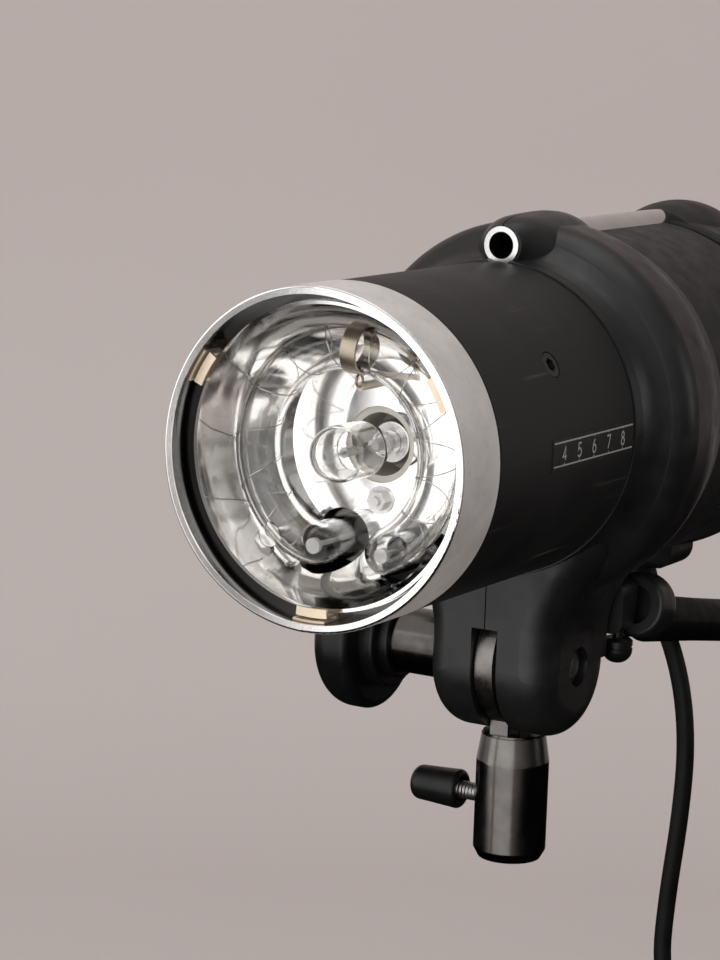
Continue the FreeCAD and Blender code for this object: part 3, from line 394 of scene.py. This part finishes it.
def bow(middle, radii, start, end, steps=12):
    """Points on part of an ellipse, with its angles in degrees."""
    angles = [math.radians(start + (end - start) * i / steps) for i in range(steps + 1)]
    return [(middle[0] + radii[0] * math.cos(a), middle[1] + radii[1] * math.sin(a))
            for a in angles]


# The strokes of each numeral, in a box one wide and one high.
NUMERALS = {
    4: [[(0.72, 0), (0.72, 1), (0, 0.28), (1, 0.28)]],
    5: [[(0.95, 1), (0.2, 1), (0.1, 0.52)] + bow((0.45, 0.31), (0.5, 0.31), 125, -150)],
    6: [bow((0.5, 0.3), (0.45, 0.3), 180, -180), bow((0.85, 0.3), (0.8, 0.7), 180, 100, 6)],
    7: [[(0, 1), (1, 1), (0.35, 0)]],
    8: [bow((0.5, 0.27), (0.45, 0.27), 90, 450), bow((0.5, 0.77), (0.36, 0.23), -90, 270)],
}


def on_plate(along_tube, around):
    """A point on the scale plate, from mm behind the rim and mm round the tube."""
    radius = PLATE_RADIUS + PRINT_LIFT
    angle = around / radius
    return head(radius * math.cos(angle), along_tube, radius * math.sin(angle))


def ribbon(points, width):
    """Both edges of a flat stroke along a line of points."""
    edges = []
    for i, here in enumerate(points):
        before, after = points[max(i - 1, 0)], points[min(i + 1, len(points) - 1)]
        run_in = Vector(here) - Vector(before)
        run_out = Vector(after) - Vector(here)
        normals = [Vector((-run.y, run.x)).normalized() for run in (run_in, run_out)
                   if run.length > 0]
        side = sum(normals, Vector((0, 0))).normalized()
        reach = width / 2 / max(side.dot(normals[0]), 0.5)
        edges += [Vector(here) + side * reach, Vector(here) - side * reach]
    return edges


def make_print():
    """Two lines with a row of numerals and small marks between them."""
    low, high = PRINT_MIDDLE - LINE_SPACE / 2, PRINT_MIDDLE + LINE_SPACE / 2
    strokes = [([(LINE_START, y), (LINE_END, y)], LINE_WIDTH) for y in (low, high)]
    for place, (_, shape) in enumerate(sorted(NUMERALS.items())):
        middle = FIRST_NUMERAL + NUMERAL_STEP * place
        strokes += [([(middle, low), (middle, low + LOW_MARK)], LINE_WIDTH),
                    ([(middle, high - HIGH_MARK), (middle, high)], LINE_WIDTH)]
        strokes += [([(middle + (x - 0.5) * NUMERAL_WIDTH,
                       PRINT_MIDDLE + (y - 0.5) * NUMERAL_HEIGHT) for x, y in line], STROKE)
                    for line in shape]
    vertices, faces = [], []
    for line, width in strokes:
        first = len(vertices)
        vertices += [on_plate(*edge) for edge in ribbon(line, width)]
        faces += [(first + 2 * i, first + 2 * i + 2, first + 2 * i + 3, first + 2 * i + 1)
                  for i in range(len(line) - 1)]
    mesh = bpy.data.meshes.new("scale_numerals")
    mesh.from_pydata(vertices, [], faces)
    mesh.materials.append(materials["print_white"])
    piece = bpy.data.objects.new("scale_numerals", mesh)
    scene.collection.objects.link(piece)
    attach(piece, "head")


# ------------------------------------------------------------------ trigger wire

RING_RADIUS, RING_DEPTH, GLASS_RADIUS = 30.8, 21.2, 6.6
WIRE_RADIUS, WIRE_GAP = 0.16, 0.15
WIRE_TURNS, POINTS_A_LOOP = 11, 14
WIRE_START, WIRE_END = -50, 230          # degrees round the ring tube


def make_trigger_wire():
    """Bare wire wound round the ring tube."""
    curve = bpy.data.curves.new("trigger_wire", "CURVE")
    curve.dimensions = "3D"
    curve.bevel_depth = WIRE_RADIUS * MM
    curve.resolution_u = 3
    spline = curve.splines.new("NURBS")
    count = WIRE_TURNS * POINTS_A_LOOP
    spline.points.add(count)
    reach = GLASS_RADIUS + WIRE_RADIUS + WIRE_GAP
    for i, target in enumerate(spline.points):
        share = i / count
        angle = math.radians(WIRE_START + (WIRE_END - WIRE_START) * share)
        roll = 2 * math.pi * WIRE_TURNS * share
        radius = RING_RADIUS + reach * math.cos(roll)
        target.co = (*head(radius * math.cos(angle), RING_DEPTH + reach * math.sin(roll),
                           radius * math.sin(angle)), 1)
    spline.order_u = 3
    spline.use_endpoint_u = True
    wire = bpy.data.objects.new("trigger_wire", curve)
    scene.collection.objects.link(wire)
    curve.materials.append(materials["bright_steel"])
    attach(wire, "head")


# ------------------------------------------------------------------ stage

FLOOR, WALL, WALL_HEIGHT, SWEEP = -0.36, 1.6, 3.2, 0.5
FRONT_EDGE, HALF_WIDTH = -2.6, 3.0
AWAY = Vector((-0.5056, 0.8627, 0))      # from the camera towards the wall


def make_stage():
    """A plain sheet: the floor, a quarter round and the wall behind."""
    material, tree, shader = new_material("backdrop")
    tone = noise(tree, 1.5, 3)
    link(tree, mixed(tree, spread(tree, tone, 0, 1), (0.66, 0.60, 0.585), (0.68, 0.62, 0.605)),
         shader.inputs["Base Color"])
    shader.inputs["Roughness"].default_value = 0.95
    profile = [(FRONT_EDGE, FLOOR), (WALL - SWEEP, FLOOR)]
    profile += [
        (WALL - SWEEP + SWEEP * math.sin(a), FLOOR + SWEEP - SWEEP * math.cos(a))
        for a in (math.radians(10 * i) for i in range(1, 10))
    ]
    profile.append((WALL, FLOOR + WALL_HEIGHT))
    across = Vector((AWAY.y, -AWAY.x, 0))
    vertices = [AWAY * d + across * s + Vector((0, 0, z))
                for d, z in profile for s in (-HALF_WIDTH, HALF_WIDTH)]
    faces = [(2 * i, 2 * i + 1, 2 * i + 3, 2 * i + 2) for i in range(len(profile) - 1)]
    mesh = bpy.data.meshes.new("backdrop")
    mesh.from_pydata([tuple(v) for v in vertices], [], faces)
    for face in mesh.polygons:
        face.use_smooth = True
    mesh.materials.append(material)
    stage = bpy.data.objects.new("backdrop", mesh)
    scene.collection.objects.link(stage)


def softbox(name, place, target, width, height, radiance):
    """A flat light of a given brightness, whatever its size."""
    data = bpy.data.lights.new(name, "AREA")
    data.shape = "RECTANGLE"
    data.size, data.size_y = width, height
    data.energy = radiance * math.pi * width * height
    light = bpy.data.objects.new(name, data)
    light.location = place
    light.rotation_euler = (Vector(target) - Vector(place)).to_track_quat("-Z", "Y").to_euler()
    scene.collection.objects.link(light)


def make_world():
    """Room light, brighter from the front left and above than from behind on the right."""
    world = bpy.data.worlds.new("world")
    world.use_nodes = True
    tree = world.node_tree
    coord = tree.nodes.new("ShaderNodeTexCoord")
    facing = tree.nodes.new("ShaderNodeVectorMath")
    facing.operation = "DOT_PRODUCT"
    link(tree, coord.outputs["Generated"], facing.inputs[0])
    facing.inputs[1].default_value = Vector((-0.5, -0.6, 0.6)).normalized()
    background = tree.nodes["Background"]
    background.inputs["Color"].default_value = (1, 0.97, 0.95, 1)
    link(tree, spread(tree, facing.outputs["Value"], 0.06, 0.7, -0.5, 0.6),
         background.inputs["Strength"])
    scene.world = world


def dark_card(name, corners, casts_shadow):
    """A black card that shows in reflections but not to the camera."""
    material, tree, shader = new_material(name)
    link(tree, mixed(tree, noise(tree, 2), shade(0.002), shade(0.004)),
         shader.inputs["Base Color"])
    shader.inputs["Specular IOR Level"].default_value = 0
    mesh = bpy.data.meshes.new(name)
    mesh.from_pydata(corners, [], [(0, 1, 2, 3)])
    mesh.materials.append(material)
    card = bpy.data.objects.new(name, mesh)
    scene.collection.objects.link(card)
    card.visible_camera = card.visible_diffuse = False
    card.visible_shadow = casts_shadow


def make_lights():
    """Three boxes in front of and above the head, one behind, and two cards to darken shine."""
    head_middle = (0, 0, 0.12)
    softbox("front_box", (0.02, -1.05, 0.175), (0.02, 0, 0.175), 1.16, 1.45, 1.25)
    softbox("left_box", (-1.02, -0.95, 0.2), (-0.72, 0, 0.2), 0.66, 1.4, 1.3)
    softbox("top_box", (0.1, 0.1, 1.7), head_middle, 1.2, 1.2, 0.9)
    softbox("right_box", (1.5, 0.75, 0.45), head_middle, 0.5, 0.8, 1.4)
    dark_card("floor_card", [(-3, -0.75, -0.3), (3, -0.75, -0.3), (3, 3, -0.3), (-3, 3, -0.3)],
              casts_shadow=False)
    dark_card("front_card", [(-0.7, -1.06, -0.5), (-0.56, -1.06, -0.5),
                             (-0.56, -1.06, 1.0), (-0.7, -1.06, 1.0)], casts_shadow=True)
    make_world()


make_camera()
make_cable()
paint_nodes()
make_trigger_wire()
make_print()
make_stage()
make_lights()
